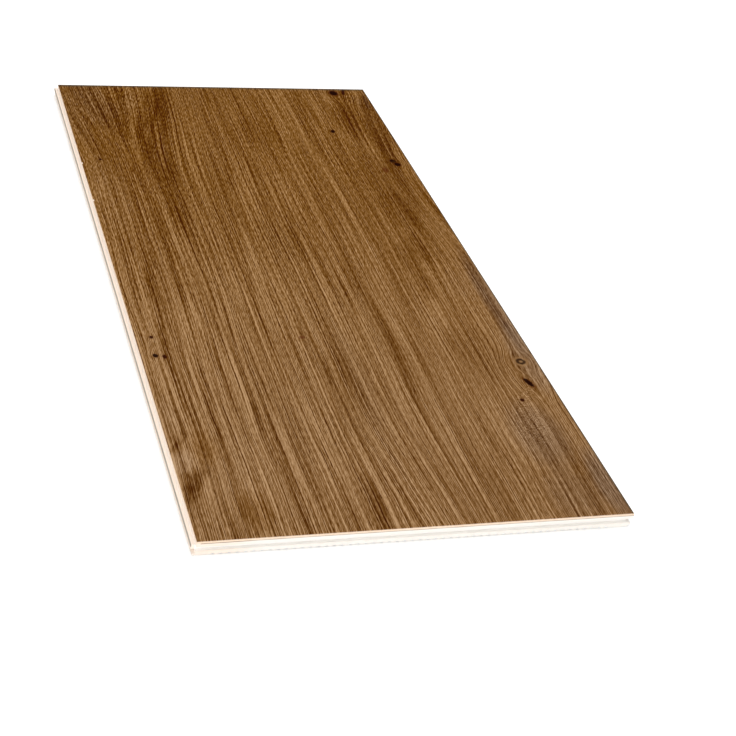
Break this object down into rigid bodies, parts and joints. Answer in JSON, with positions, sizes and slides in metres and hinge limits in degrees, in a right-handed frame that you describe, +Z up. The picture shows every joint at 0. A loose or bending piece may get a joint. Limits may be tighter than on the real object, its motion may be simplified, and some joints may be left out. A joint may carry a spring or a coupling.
{
  "type": "luxury vinyl plank",
  "caption": "Click-lock luxury vinyl floor plank, cut to sample length, with an oak-print face, a tongue and groove core and a ribbed backing.",
  "frame": {"origin": "middle of the underside, on the floor that the plank lies on", "axes": "+Y along the plank towards its end tongue, +X across it towards its groove side, +Z up out of the printed face"},
  "size_m": [0.1794, 0.408, 0.007],
  "materials": {
    "printed_vinyl": "oak print under a satin clear wear film, cream where the layer's edge is cut",
    "core_board": "matt, pale cream, fine milling marks",
    "backing_vinyl": "matt, pale, fine moulded grain"
  },
  "bodies": {
    "root": {"wear_layer": "printed_vinyl", "core": "core_board", "backing": "backing_vinyl"}
  },
  "joints": []
}
